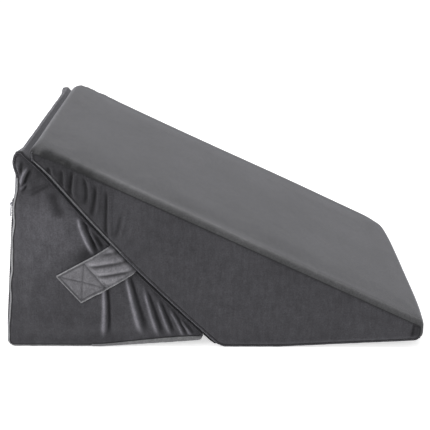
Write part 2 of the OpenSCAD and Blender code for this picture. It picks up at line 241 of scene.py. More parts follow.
class Skin:
    """The closed skin of one wedge: a band round the profile, and a panel on each side."""

    def __init__(self, corners, panels, rows=(), coarse=1.0):
        self.profile = Profile(corners)
        pr, half = self.profile, HALF_WIDTH
        n = len(pr.outer)
        roll = [math.sin(t) for t in np.linspace(0, math.pi / 2, ROLL_STEPS + 1)]
        rise = [1 - math.cos(t) for t in np.linspace(0, math.pi / 2, ROLL_STEPS + 1)]
        count = int(2 * half / (ROW * coarse))
        middle = sorted(set(list(np.linspace(-1, 1, count + 1)[1:-1]) + list(rows)))
        self.rows = 2 * (ROLL_STEPS + 1) + len(middle)
        points = np.zeros((n, self.rows, 3))
        wide = np.interp(pr.roll, (EDGE_ROLL, TOP_ROLL), (EDGE_ROLL, TOP_ROLL_WIDE))
        wide = EDGE_ROLL + (wide - EDGE_ROLL) * (1 - 0.8 * smooth_step(pr.outer[:, 0], -0.15, 0.2))
        for j in range(self.rows):
            k = j if j <= ROLL_STEPS else self.rows - 1 - j
            if k <= ROLL_STEPS:
                xz = pr.inner + (pr.outer - pr.inner) * roll[k]
                y = -half + wide * rise[k]
                y = y if j <= ROLL_STEPS else -y
            else:
                xz = pr.outer
                y = middle[j - ROLL_STEPS - 1] * (half - wide)
            points[:, j, 0], points[:, j, 2] = xz[:, 0], xz[:, 1]
            points[:, j, 1] = y
        self.count = n
        self.points = points.reshape(-1, 3)
        from_edge = np.minimum(np.arange(self.rows), self.rows - 1 - np.arange(self.rows))
        turn = np.tile(np.clip(from_edge / ROLL_STEPS, 0, 1), n)
        self.faces, self.panel = [], []
        bounds = [(name, pr.corner_at[a], pr.corner_at[b]) for name, a, b in panels]
        for i in range(n):
            name = next(p for p, a, b in bounds if (a <= i < b if a < b else i >= a or i < b))
            for j in range(self.rows - 1):
                a, b = i * self.rows + j, ((i + 1) % n) * self.rows + j
                self.faces.append((a, b, b + 1, a + 1))
                self.panel.append(name)
        for side, spacing in (("near", NEAR_GRID), ("far", FAR_GRID)):
            row = 0 if side == "near" else self.rows - 1
            y = SIGN[side] * half
            flat, triangles = fill(pr.inner, spacing * coarse)
            start = len(self.points) - n
            extra = np.array([(p[0], y, p[1]) for p in flat[n:]])
            self.points = np.vstack([self.points, extra])
            index = [i * self.rows + row for i in range(n)]
            for f in triangles:
                face = [index[v] if v < n else start + v for v in f]
                corner = [self.points[v] for v in face]
                up = np.cross(corner[1] - corner[0], corner[2] - corner[0])[1]
                self.faces.append(tuple(face if (up < 0) == (side == "near") else face[::-1]))
                self.panel.append(side)
        self.panel = np.array(self.panel)
        self.turn = np.zeros(len(self.points))
        self.turn[:len(turn)] = turn
        self.rest = self.points.copy()
        # Painted highlight (above zero) and painted shade (below zero) at each point
        self.painted_shading = np.zeros(len(self.points))
        self.seam_rows = {"near": [i * self.rows for i in range(n)],
                          "far": [i * self.rows + self.rows - 1 for i in range(n)]}
        self.cross_seams = [pr.corner_at[a] for _, a, _ in panels]
        seam = self.seam_rows["near"] + self.seam_rows["far"]
        seam += [i * self.rows + j for i in self.cross_seams for j in range(self.rows)]
        tree = kdtree.KDTree(len(seam))
        for i in seam:
            tree.insert(self.rest[i], i)
        tree.balance()
        self.seam_gap = np.array([tree.find(p)[2] for p in self.rest])
        self.of_panel = {name: self.members(name) for name in set(self.panel)}

    def members(self, name):
        """A mask of the points that a panel's faces use."""
        mask = np.zeros(len(self.points), bool)
        for f, p in zip(self.faces, self.panel):
            if p == name:
                mask[list(f)] = True
        return mask

    def normals(self):
        total = np.zeros_like(self.points)
        for size in (3, 4):
            f = np.array([f for f in self.faces if len(f) == size])
            if len(f):
                n = np.cross(self.points[f[:, 2]] - self.points[f[:, 0]],
                             self.points[f[:, size - 1]] - self.points[f[:, 1]])
                for k in range(size):
                    np.add.at(total, f[:, k], n)
        return total / np.maximum(np.linalg.norm(total, axis=1), 1e-12)[:, None]

    def inflate(self, pins, pressure, cap, free):
        """Blows the skin up as cloth, held where pins is 1, and moves no point more than cap.

        free is the distance from a seam where the cloth starts to give, and where it gives fully.
        """
        mesh = bpy.data.meshes.new("inflating")
        mesh.from_pydata(self.points.tolist(), [], self.faces)
        cloth = bpy.data.objects.new("inflating", mesh)
        bpy.context.scene.collection.objects.link(cloth)
        group = cloth.vertex_groups.new(name="pin")
        levels = np.round(pins * 10).astype(int)
        for level in np.unique(levels):
            group.add(np.nonzero(levels == level)[0].tolist(), float(level) / 10, "REPLACE")
        modifier = cloth.modifiers.new("cloth", "CLOTH")
        s = modifier.settings
        s.quality = 4
        s.mass = 0.3
        s.tension_stiffness = s.compression_stiffness = 12
        s.shear_stiffness = 6
        s.bending_stiffness = 0.4
        s.use_pressure = True
        s.uniform_pressure_force = pressure
        s.vertex_group_mass = "pin"
        s.effector_weights.gravity = 0
        s.shrink_min = -0.004
        for number in range(1, 21):
            bpy.context.scene.frame_set(number)
        blown = cloth.evaluated_get(bpy.context.evaluated_depsgraph_get())
        moved = np.zeros(len(self.points) * 3)
        blown.data.vertices.foreach_get("co", moved)
        bpy.data.objects.remove(cloth)
        bpy.data.meshes.remove(mesh)
        bpy.context.scene.frame_set(1)
        shift = moved.reshape(-1, 3) - self.points
        far = np.linalg.norm(shift, axis=1)
        give = smooth_step(self.seam_gap, *free)
        self.points += shift * (give * np.minimum(1, cap / np.maximum(far, 1e-9)))[:, None]

    def piece(self, name, panel, material, body, node, slot_name):
        """One panel of the skin as its own sheet of cloth."""
        chosen = [f for f, p in zip(self.faces, self.panel) if p == panel]
        used = sorted({v for f in chosen for v in f})
        place = {v: k for k, v in enumerate(used)}
        faces = [tuple(place[v] for v in f) for f in chosen]
        made = mesh_piece(name, self.points[used], faces, material, body, slot_name, node)
        set_painted_shading(made, np.clip(self.painted_shading[used], -0.75, 3))
        rest = mesh_area(self.rest, chosen)


def mesh_area(points, faces):
    total = 0.0
    for f in faces:
        p = points[list(f)]
        for k in range(1, len(f) - 1):
            total += np.linalg.norm(np.cross(p[k] - p[0], p[k + 1] - p[0])) / 2
    return total


def set_painted_shading(piece, values):
    """How much lighter or darker than its cloth's own colour each point is painted, as painted highlight
    and shade.
    """
    layer = piece.data.attributes.new("painted_shading", "FLOAT", "POINT")
    layer.data.foreach_set("value", np.asarray(values, np.float32))


def mesh_piece(name, points, faces, material, body, slot_name, *replaced):
    """A piece that rides on a body, in place of the CAD nodes that it stands for, which it hides. slot_name
    is not used.
    """
    mesh = bpy.data.meshes.new(name)
    mesh.from_pydata([tuple(map(float, p)) for p in points], [], faces)
    mesh.polygons.foreach_set("use_smooth", [True] * len(mesh.polygons))
    mesh.materials.append(material)
    mesh.update()
    made = bpy.data.objects.new(name, mesh)
    bpy.context.scene.collection.objects.link(made)
    if body:
        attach(made, body)
    if replaced:
        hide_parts(*replaced)
    return made


# --- Moves of the cloth --------------------------------------------------------------------------

def bell(d, width):
    return np.exp(-(d / width) ** 2)


def smooth_step(x, low, high):
    t = np.clip((x - low) / (high - low), 0, 1)
    return t * t * (3 - 2 * t)


def ripple(points, scale, seed):
    """Smooth noise at points, about -1 to 1."""
    return np.array([noise.noise((p[0] + seed, p[1] + 7.3 * seed, p[2])) for p in points / scale])


def fold(skin, side, start, end, width, height, valley, bend=0.0, painted_highlight=1.0):
    """Raises a fold on a side panel, along the curve from start to end (x, z), with a valley beside it.

    The last argument is the painted highlight: how much lighter the colour is painted along the fold; the
    valley beside it is painted darker, as painted shade.
    """
    mask = skin.of_panel[side]
    a, b = np.array(start), np.array(end)
    length = np.linalg.norm(b - a)
    along = (b - a) / length
    across = np.array([-along[1], along[0]])
    xz = skin.rest[mask][:, [0, 2]] - a
    u = xz @ along / length
    d = xz @ across - bend * np.sin(np.clip(u, 0, 1) * math.pi)
    spread = width * (0.75 + 0.5 * np.clip(u, 0, 1))
    strength = smooth_step(u, -0.06, 0.25) * (1 - smooth_step(u, 0.75, 1.06))
    shape = bell(d, spread) - valley * bell(d - 1.7 * spread, spread)
    keep = smooth_step(skin.seam_gap[mask], 0, 0.004)
    skin.points[mask, 1] += SIGN[side] * height * strength * shape * keep
    # Painted highlight along the fold, painted shade in its valley
    light = painted_highlight * bell(d + 0.2 * spread, 0.62 * spread)
    shade = 0.62 * valley * bell(d - 1.5 * spread, 0.9 * spread)
    skin.painted_shading[mask] += strength * (light - shade) * keep


def pucker(skin, depth, length, reach, seed):
    """Small ripples that run into the seams, as stitched cloth has."""
    n = skin.normals()
    wave = ripple(skin.rest, length, seed) + 0.5 * ripple(skin.rest, length / 2.3, seed + 3)
    skin.points += n * (depth * wave * bell(skin.seam_gap, reach))[:, None]


def groove(skin):
    """Draws the seams in."""
    skin.points -= skin.normals() * (GROOVE * bell(skin.seam_gap, GROOVE_WIDTH))[:, None]


def undulate(skin, height, length, seed, mask):
    """Slow waves over the cloth, away from its seams."""
    n = skin.normals()
    wave = ripple(skin.rest, length, seed) * smooth_step(skin.seam_gap, 0, 0.03)
    skin.points += n * (height * wave * mask)[:, None]


def bow(z, y):
    """How far the joint's line bows towards the back near the sides, at a height."""
    near = bell(HALF_WIDTH - np.abs(y), 0.07)
    return -0.0105 * np.sin(math.pi * np.clip(z / 0.3, 0, 1)) * near


def bow_joint(skin):
    """Bows the joint's line near the sides, the same on both wedges."""
    x, y, z = skin.rest.T
    gap = np.abs(x - joint_x(z, 0))
    skin.points[:, 0] += bow(z, y) * bell(gap, 0.055)


def slump_top(skin):
    """The base's top strip slumps between its corners, so its back edge is a soft ridge."""
    inner_part = smooth_step(HALF_WIDTH - np.abs(skin.rest[:, 1]), 0.008, 0.04)
    high_part = smooth_step(skin.rest[:, 2], BASE_HEIGHT - 0.05, BASE_HEIGHT - 0.004) * inner_part
    skin.points[:, 0] += 0.0050 * high_part * (skin.rest[:, 0] < TOP_X)
    ridge = (skin.rest[:, 0] - TOP_X + 0.001) / 0.0045
    skin.points[:, 2] -= 0.0022 * high_part * np.exp(-ridge ** 2)


def slump_corners(skin):
    """The ramp's upper corners slump."""
    for side in (-1, 1):
        centre = np.array([APEX_X, side * (HALF_WIDTH - 0.006), RAMP_HEIGHT - 0.004])
        pull = bell(np.linalg.norm(skin.rest - centre, axis=1), 0.026)
        skin.points += pull[:, None] * np.array([0.0015 + 0.0055 * side, side * -0.003, -0.0045])


def tuck(skin, depth, reach):
    """Draws the side panels in beside the joint, or out for a depth below zero."""
    x, y, z = skin.rest.T
    gap = np.abs(x - joint_x(z, 0)) * math.sin(JOINT_ANGLE)
    outer = smooth_step(np.abs(y), HALF_WIDTH - 0.02, HALF_WIDTH - 0.004)
    skin.points[:, 1] -= np.sign(y) * depth * bell(gap, reach) * outer


def keep_clear(skin, side):
    """Keeps the skin off the floor and on its own side of the joint."""
    p = skin.points
    p[:, 2] = np.maximum(p[:, 2], 0.0005)
    out = np.array([math.sin(JOINT_ANGLE), math.cos(JOINT_ANGLE)])
    face = np.array([joint_x(0, side), 0])
    shift = bow(p[:, 2], p[:, 1])
    past = ((p[:, [0, 2]] - np.stack([shift, 0 * shift], 1) - face) @ out) * -side
    on_face = skin.of_panel["slope" if side < 0 else "under"] | skin.of_panel["near"]
    on_face |= skin.of_panel["far"]
    move = np.where(on_face & (past > 0), past, 0)
    p[:, 0] += side * move * out[0]
    p[:, 2] += side * move * out[1]


# --- Materials -----------------------------------------------------------------------------------

def feed(tree, node, **inputs):
    """Sets a node's inputs to values, or links sockets to them. An _ in a name stands for a space."""
    for name, value in inputs.items():
        socket = node.inputs[name.replace("_", " ")]
        if isinstance(value, bpy.types.NodeSocket):
            tree.links.new(value, socket)
        else:
            socket.default_value = value


def new_node(tree, kind, **inputs):
    node = tree.nodes.new("ShaderNode" + kind)
    feed(tree, node, **inputs)
    return node


def new_material(name):
    """A material, its node tree, its shader, and the socket of the place on the object."""
    m = bpy.data.materials.new(name)
    m.use_nodes = True
    tree = m.node_tree
    return m, tree, tree.nodes["Principled BSDF"], new_node(tree, "TexCoord").outputs["Object"]


def noise_node(tree, where, scale, detail, roughness=0.55, stretch=None):
    if stretch:
        where = new_node(tree, "Mapping", Scale=stretch, Vector=where).outputs["Vector"]
    return new_node(tree, "TexNoise", Scale=scale, Detail=detail, Roughness=roughness,
                    Vector=where).outputs["Fac"]


def ramp_node(tree, value, first, last, low=0.3, high=0.7):
    """A colour, or a grey from one number, that goes from first to last as a value goes low to high."""
    node = new_node(tree, "ValToRGB", Fac=value)
    for element, place, colour in zip(node.color_ramp.elements, (low, high), (first, last)):
        element.position = place
        element.color = (*(colour if isinstance(colour, tuple) else (colour,) * 3), 1)
    return node.outputs["Color"]


def bump_node(tree, height, strength, distance, **below):
    return new_node(tree, "Bump", Strength=strength, Distance=distance, Height=height,
                    **below).outputs["Normal"]


def mix_node(tree, a, b, factor, kind="MIX"):
    node = tree.nodes.new("ShaderNodeMix")
    node.data_type = "RGBA"
    node.blend_type = kind
    feed(tree, node, Factor=factor, A=a, B=b)
    return node.outputs["Result"]


def velvet(name, dark, light, sheen, brush=1.0):
    """Short-pile velvet: cloudy tone, brushed streaks, fine pile, a sheen at grazing angles, and each
    point's painted highlight and shade multiplied into its colour.
    """
    m, tree, shader, where = new_material(name)
    patches = noise_node(tree, where, 60, 5, 0.7)
    streaks = noise_node(tree, where, 55, 4, 0.65, (3.2, 1.0, 0.55))
    pile = noise_node(tree, where, 420, 3, 0.8)
    colour = ramp_node(tree, noise_node(tree, where, 9, 5, 0.6), dark, light, 0.34, 0.66)
    for value, low, high in ((patches, 1 - 0.2 * brush, 1 + 0.16 * brush),
                             (streaks, 1 - 0.14 * brush, 1 + 0.12 * brush), (pile, 0.70, 1.24)):
        colour = mix_node(tree, colour, ramp_node(tree, value, low, high), 1, "MULTIPLY")
    # Each point's painted highlight and shade, multiplied into the colour
    painted_shading = tree.nodes.new("ShaderNodeAttribute")
    painted_shading.attribute_name = "painted_shading"
    lifted_shading = tree.nodes.new("ShaderNodeMath")
    lifted_shading.operation = "ADD"
    lifted_shading.inputs[1].default_value = 1.0
    tree.links.new(painted_shading.outputs["Fac"], lifted_shading.inputs[0])
    feed(tree, shader, Base_Color=mix_node(tree, colour, lifted_shading.outputs[0], 1, "MULTIPLY"),
         Roughness=0.88, Specular_IOR_Level=0.18,
         Sheen_Weight=sheen, Sheen_Roughness=0.42, Sheen_Tint=(0.93, 0.93, 1, 1),
         Normal=bump_node(tree, pile, 0.5, 0.0006, Normal=bump_node(tree, patches, 0.35, 0.0012 * brush)))
    return m


def woven(name, dark, light, threads, roughness=0.85, sheen=0.15):
    """Plain-woven cloth or webbing."""
    m, tree, shader, where = new_material(name)
    heights = []
    for direction in "XYZ":
        wave = new_node(tree, "TexWave", Scale=threads / 3, Distortion=0.6, Vector=where)
        wave.bands_direction = direction
        heights.append(wave.outputs["Color"])
    weave = mix_node(tree, mix_node(tree, heights[0], heights[1], 0.5), heights[2], 0.33)
    tone = ramp_node(tree, weave, dark, light, 0.25, 0.75)
    wear = ramp_node(tree, noise_node(tree, where, 60, 4, 0.6), 0.8, 1.0)
    feed(tree, shader, Base_Color=mix_node(tree, tone, wear, 1, "MULTIPLY"), Roughness=roughness,
         Specular_IOR_Level=0.25, Sheen_Weight=sheen, Normal=bump_node(tree, weave, 0.6, 0.0004))
    return m


def plated(name):
    """Bright plated metal with fine scratches."""
    m, tree, shader, where = new_material(name)
    scratches = noise_node(tree, where, 420, 4, 0.7, (1, 1, 0.08))
    feed(tree, shader, Base_Color=ramp_node(tree, scratches, (0.3, 0.3, 0.33), (0.52, 0.52, 0.55)),
         Roughness=ramp_node(tree, scratches, 0.38, 0.2), Metallic=1,
         Normal=bump_node(tree, scratches, 0.2, 0.0001))
    return m


def nylon(name):
    """Slightly glossy nylon of the zipper's teeth."""
    m, tree, shader, where = new_material(name)
    speck = noise_node(tree, where, 700, 2)
    feed(tree, shader, Base_Color=ramp_node(tree, speck, (0.025, 0.025, 0.03), (0.06, 0.06, 0.066)),
         Roughness=0.36, Normal=bump_node(tree, speck, 0.2, 0.0001))
    return m


def foam_look(name):
    """Open-cell foam."""
    m, tree, shader, where = new_material(name)
    cells = new_node(tree, "TexVoronoi", Scale=500, Vector=where).outputs["Distance"]
    feed(tree, shader, Base_Color=ramp_node(tree, cells, (0.5, 0.44, 0.28), (0.8, 0.74, 0.55), 0.1, 0.6),
         Roughness=0.95, Normal=bump_node(tree, cells, 0.6, 0.0008))
    return m


# One velvet in lit and shaded copies: the top is painted lighter than the sides, as painted light from
# above, and the light welts, hem bands and back welt are painted lighter, as painted highlight on edges
VELVET_TOP_PAINTED_LIGHTER = velvet("velvet_top_painted_lighter", (0.06862, 0.06862, 0.0705), (0.08272, 0.08272, 0.08554), 0.35, 0.45)
VELVET_SIDE = velvet("velvet_side", (0.034, 0.033, 0.037), (0.045, 0.044, 0.049), 0.5)
VELVET_STRAP = velvet("velvet_strap", (0.096, 0.094, 0.102), (0.123, 0.120, 0.129), 0.4)
VELVET_WELT_PAINTED_LIT = velvet("velvet_welt_painted_lit", (0.108, 0.108, 0.111), (0.142, 0.142, 0.145), 0.5)
STRAP_RIM_PAINTED_SHEEN = velvet("strap_rim", (0.155, 0.155, 0.16), (0.21, 0.21, 0.216), 0.5)
WELT_PAINTED_HIGHLIGHT = velvet("welt_painted_highlight", (0.2, 0.2, 0.208), (0.27, 0.27, 0.278), 0.5)
# A near-black cord laid in a seam's groove: painted seam shadow
SEAM_PAINTED_SHADOW = woven("seam_shadow_thread", (0.006, 0.006, 0.007), (0.014, 0.014, 0.016), 900)
THREAD = woven("stitch_thread", (0.05, 0.05, 0.055), (0.1, 0.1, 0.11), 2000)
BOTTOM_CLOTH = woven("bottom_cloth", (0.03, 0.03, 0.032), (0.055, 0.055, 0.058), 700)
GRIP = woven("grip_rubber", (0.012, 0.012, 0.013), (0.02, 0.02, 0.021), 900, 0.6, 0.0)
TAPE_CLOTH = woven("zipper_tape_cloth", (0.012, 0.012, 0.014), (0.03, 0.03, 0.033), 1800)
HINGE_CLOTH = woven("hinge_cloth", (0.025, 0.025, 0.028), (0.045, 0.045, 0.05), 1200)
LINING = woven("lining_cloth", (0.55, 0.55, 0.54), (0.72, 0.72, 0.71), 800)
METAL = plated("plated_metal")
NYLON = nylon("nylon_teeth")
FOAM = foam_look("cushion_foam")


# --- Helpers for trims ---------------------------------------------------------------------------

def frames_along(path, normal):
    """Unit vectors along a path, and beside it, from rough normals to the surface that it lies on."""
    path = np.array(path, float)
    ahead = np.gradient(path, axis=0)
    ahead /= np.maximum(np.linalg.norm(ahead, axis=1), 1e-9)[:, None]
    normal = np.broadcast_to(np.array(normal, float), path.shape)
    beside = np.cross(ahead, normal)
    beside /= np.maximum(np.linalg.norm(beside, axis=1), 1e-9)[:, None]
    up = np.cross(beside, ahead)
    return path, ahead, beside, up


def ring_faces(count, sides):
    """Faces of a tube with closed ends, whose points come ring by ring."""
    faces = []
    for k in range(count - 1):
        for s in range(sides):
            a, b = k * sides + s, k * sides + (s + 1) % sides
            faces.append((a, b, b + sides, a + sides))
    last = (count - 1) * sides
    return faces + [tuple(range(sides))[::-1], tuple(last + s for s in range(sides))]


def tube(path, normal, wide, high, sides=8):
    """Points and faces of a tube of oval section that follows a path on a surface."""
    path, _, beside, up = frames_along(path, normal)
    points = []
    for p, b, u in zip(path, beside, up):
        for s in range(sides):
            t = 2 * math.pi * (s + 0.5) / sides
            points.append(p + b * wide * math.cos(t) + u * high * math.sin(t))
    return points, ring_faces(len(path), sides)


def joined(parts):
    points, faces = [], []
    for p, f in parts:
        start = len(points)
        points += list(p)
        faces += [tuple(v + start for v in face) for face in f]
    return points, faces


def spaced(path, step):
    path = np.array(path, float)
    along = np.concatenate([[0], np.cumsum(np.linalg.norm(np.diff(path, axis=0), axis=1))])
    at = np.linspace(0, along[-1], max(2, int(round(along[-1] / step)) + 1))
    return np.stack([np.interp(at, along, path[:, k]) for k in range(3)], axis=1)


STITCH = 0.0032
STITCH_GAP = 0.0011
STITCH_RADIUS = 0.0004


def stitches(path, normal):
    """A row of stitches, each a short thread that dips into the cloth at its ends."""
    path, ahead, _, up = frames_along(spaced(path, STITCH + STITCH_GAP), normal)
    parts = []
    for a, along, u in zip(path[:-1], ahead, up):
        b = a + along * STITCH
        dip = u * STITCH_RADIUS * 1.2
        line = [a - dip, a * 0.8 + b * 0.2, (a + b) / 2 + dip * 0.2, a * 0.2 + b * 0.8, b - dip]
        parts.append(tube(line, u, STITCH_RADIUS, STITCH_RADIUS, 5))
    return joined(parts)


# --- Build the two covers ------------------------------------------------------------------------

base = Skin(BASE_CORNERS, [("back", 0, 1), ("slope", 1, 3), ("bottom", 3, 0)],
            rows=[s * v / (HALF_WIDTH - EDGE_ROLL) for s in (-1, 1)
                  for v in (ZIP_SIDE_X - 0.0075, ZIP_SIDE_X - 0.0045, ZIP_SIDE_X + 0.0045)])
ramp = Skin(RAMP_CORNERS, [("under", 0, 1), ("top", 1, 4), ("bottom", 4, 0)])

BACK_FRAME = Matrix.Translation((FOOT_X, 0, 0)) @ Matrix((
    (0, math.sin(BACK_LEAN), -math.cos(BACK_LEAN), 0),
    (-1, 0, 0, 0),
    (0, math.cos(BACK_LEAN), math.sin(BACK_LEAN), 0),
    (0, 0, 0, 1)))
TOE_FRAME = Matrix.Translation((RAMP_LIFT_X, 0, 0)) @ Matrix((
    (0, math.cos(TOE_TILT), math.sin(TOE_TILT), 0),
    (1, 0, 0, 0),
    (0, math.sin(TOE_TILT), -math.cos(TOE_TILT), 0),
    (0, 0, 0, 1)))


ZIP_STEP = 0.002          # spacing of a zipper's points, and twice it where only its place matters
TOE_ZIP_Y = (TOE_ZIP_X - RAMP_LIFT_X) / math.cos(TOE_TILT)


def back_zip_path(step):
    """The U of the back zipper in the back's own frame, from its near end to its far end."""
    line = [(ZIP_SIDE_X, ZIP_TOP, 0)]
    for centre, start in ((ZIP_SIDE_X - ZIP_CORNER, 0), (-ZIP_SIDE_X + ZIP_CORNER, -90)):
        for k in range(9):
            t = math.radians(start - 90 * k / 8)
            y = ZIP_FOOT + ZIP_CORNER + ZIP_CORNER * math.sin(t)
            line.append((centre + ZIP_CORNER * math.cos(t), y, 0))
    line.append((-ZIP_SIDE_X, ZIP_TOP, 0))
    return spaced(line, step)


def toe_zip_path(step):
    return spaced([(-TOE_ZIP_HALF, TOE_ZIP_Y, 0), (TOE_ZIP_HALF, TOE_ZIP_Y, 0)], step)


def placed(matrix, points):
    m = np.array(matrix)
    return np.array(points) @ m[:3, :3].T + m[:3, 3]


def near_path(points, path):
    tree = kdtree.KDTree(len(path))
    for i, p in enumerate(path):
        tree.insert(p, i)
    tree.balance()
    return np.array([tree.find(p)[2] for p in points])


base_zip_gap = near_path(base.rest, placed(BACK_FRAME, back_zip_path(2 * ZIP_STEP)))
ramp_zip_gap = near_path(ramp.rest, placed(TOE_FRAME, toe_zip_path(2 * ZIP_STEP)))


def pins_of(skin, flat_panels, zip_gap):
    """How firmly each point is held while the skin is blown up: seams partly, pressed faces fully."""
    pins = 0.75 * bell(skin.seam_gap, 0.006)
    for name in flat_panels:
        pins = np.maximum(pins, 0.98 * skin.of_panel[name] * smooth_step(skin.seam_gap, 0, 0.01))
    return np.clip(np.maximum(pins, 1 - smooth_step(zip_gap, 0.008, 0.02)), 0, 1)


base.inflate(pins_of(base, ["slope", "bottom"], base_zip_gap), 3.5, 0.006, (0.004, 0.035))
ramp.inflate(pins_of(ramp, ["under", "bottom"], ramp_zip_gap), 3.0, 0.002, (0.008, 0.09))

# Slow unevenness of the cloth over the foam
undulate(base, 0.0022, 0.12, 5, np.where(base.of_panel["near"] | base.of_panel["far"], 1.0, 0.4))
undulate(ramp, 0.0009, 0.16, 9, np.where(ramp.of_panel["bottom"], 0.2, 1.0))

# Folds: start, end, width, height, bend, painted highlight (each with painted shade in its valley)
for panels, valley, folds in (
    # Those that hang below the strap and the joint
    (("near", "far"), 1.0, (
        ((-0.182, 0.132), (-0.186, 0.022), 0.0040, 0.0052, 0.002, 5.0),
        ((-0.137, 0.138), (-0.123, 0.028), 0.0052, 0.0050, -0.003, 3.6),
        ((-0.108, 0.108), (-0.094, 0.022), 0.0044, 0.0044, -0.002, 3.1),
        ((-0.087, 0.088), (-0.073, 0.024), 0.0038, 0.0038, -0.001, 2.7),
        ((-0.068, 0.070), (-0.050, 0.020), 0.0030, 0.0032, 0.001, 2.8),
        ((-0.052, 0.050), (-0.036, 0.022), 0.0026, 0.0026, 0.0, 2.4))),
    # Those between the joint and the strap's upper edge
    (("near", "far"), 1.25, (
        ((-0.214, 0.236), (-0.191, 0.170), 0.0044, 0.0056, -0.002, 4.0),
        ((-0.196, 0.214), (-0.177, 0.174), 0.0034, 0.0030, -0.001, 0.7),
        ((-0.270, 0.275), (-0.256, 0.225), 0.0090, 0.0016, 0.0, 0.1))),
    # Bunched cloth at the top corner
    (("near",), 0.9, (
        ((-0.294, 0.316), (-0.312, 0.286), 0.0034, 0.0052, -0.002, 3.6),
        ((-0.304, 0.328), (-0.313, 0.306), 0.0026, 0.0030, 0.0, 0.6),
        ((-0.300, 0.290), (-0.313, 0.280), 0.0026, 0.0030, 0.001, 1.8),
        ((-0.262, 0.291), (-0.300, 0.274), 0.0034, -0.0016, 0.0, -0.3))),
):
    for start, end, width, height, bend, painted_highlight in folds:
        for side in panels:
            fold(base, side, start, end, width, height, valley, bend, painted_highlight)
# Creases at the ramp's upper corner, each with a ridge beside it. They go in, so the height and the
# painted highlight are below zero: painted shade along each crease, and a painted highlight on its ridge.
RIDGE_GAP = 0.0065
for start, end, width, height, bend, painted_highlight in (
    ((-0.263, 0.318), (-0.262, 0.296), 0.0040, -0.0032, 0.0, -0.75),
    ((-0.243, 0.314), (-0.244, 0.276), 0.0038, -0.0034, 0.001, -0.7),
    ((-0.225, 0.312), (-0.227, 0.262), 0.0036, -0.0042, -0.002, -0.75),
    ((-0.209, 0.302), (-0.203, 0.254), 0.0034, -0.0030, 0.003, -0.7),
    ((-0.189, 0.290), (-0.192, 0.232), 0.0040, -0.0034, 0.001, -0.65),
    ((-0.172, 0.282), (-0.164, 0.184), 0.0032, -0.0042, -0.002, -0.8),
    ((-0.147, 0.242), (-0.152, 0.196), 0.0040, -0.0018, 0.0, -0.45),
):
    ridge = (start[0] + RIDGE_GAP, start[1]), (end[0] + RIDGE_GAP, end[1])
    for side in SIGN:
        fold(ramp, side, start, end, width, height, 0.45, bend, painted_highlight)
        fold(ramp, side, *ridge, 0.6 * width, 0.0011, 0.0, bend, 0.42)
# A dart at the toe, painted darker along it as painted shade
for side in SIGN:
    fold(ramp, side, (0.335, 0.048), (0.332, 0.020), 0.0034, -0.0020, 0.3, painted_highlight=-0.8)

# The back edge of the base wavers where its seam is drawn up
edge = np.abs(np.abs(base.rest[:, 1]) - HALF_WIDTH)
back_line = FOOT_X + base.rest[:, 2] * math.tan(BACK_LEAN)
from_back = np.hypot(base.rest[:, 0] - back_line, edge)
wave = 0.0010 * np.sin(base.rest[:, 2] / 0.0115 + 1.1) + 0.0005 * np.sin(base.rest[:, 2] / 0.0067)
wave += 0.0045 * bell(base.rest[:, 2] - 0.283, 0.02)
waver = wave * bell(from_back, 0.016) * smooth_step(base.rest[:, 2], 0.01, 0.05)
base.points[:, 0] += waver
base.points[:, 1] += 0.5 * waver * np.sign(base.rest[:, 1])

# The bunched corner stands out
corner_centre = np.array([-0.309, 0, BASE_HEIGHT - 0.018])
for side, size in ((-1, 1.0), (1, 0.6)):
    corner_centre[1] = side * (HALF_WIDTH - 0.003)
    pull = size * bell(np.linalg.norm(base.rest - corner_centre, axis=1), 0.015)
    base.points += pull[:, None] * np.array([-0.002, side * 0.005, 0.0005])

slump_top(base)
slump_corners(ramp)

# The ramp's cloth gathers at its upper corners. Painted highlight and shade follow the gathers,
# painted shade lies along the top's edge near the corner, and towards the toe the top's roll gets a
# painted highlight on its crest and painted shade by its seam, with a painted highlight just inside it
on_top = ramp.of_panel["top"]
from_side = HALF_WIDTH - np.abs(ramp.rest[:, 1])
gathers = ripple(ramp.rest * np.array([1, 0.25, 0.6]), 0.011, 21)
gathers = gathers * on_top * bell(from_side, 0.016) * (1 - smooth_step(ramp.rest[:, 0], -0.27, -0.15))
gathers = gathers * smooth_step(ramp.seam_gap, 0, 0.004)
ramp.points += ramp.normals() * (0.0030 * gathers)[:, None]
ramp.painted_shading += 1.0 * gathers
ramp.painted_shading -= 0.56 * on_top * bell(from_side, 0.017) * (1 - smooth_step(ramp.rest[:, 0], -0.25, -0.13))
rolled = on_top * (ramp.turn < 1) * smooth_step(ramp.rest[:, 0], -0.3, -0.15)
ramp.painted_shading += rolled * (0.62 * bell(ramp.turn - 0.8, 0.18) - 0.44 * bell(ramp.turn, 0.42))
ramp.painted_shading += 0.34 * on_top * bell(from_side - 0.015, 0.009) * bell(ramp.rest[:, 0] + 0.02, 0.18)

# The toe's front edge bulges between its corners
mid = 1 - np.abs(ramp.rest[:, 1] / HALF_WIDTH) ** 4
ramp.points[:, 0] += TOE_BULGE * mid * smooth_step(ramp.rest[:, 0], HALF_LENGTH - 0.06, HALF_LENGTH)
far_corner = np.array([HALF_LENGTH, HALF_WIDTH, TOE_HEIGHT])
pull = bell(np.linalg.norm(ramp.rest - far_corner, axis=1), 0.022)
ramp.points += pull[:, None] * np.array([-0.003, -0.004, -0.0025])

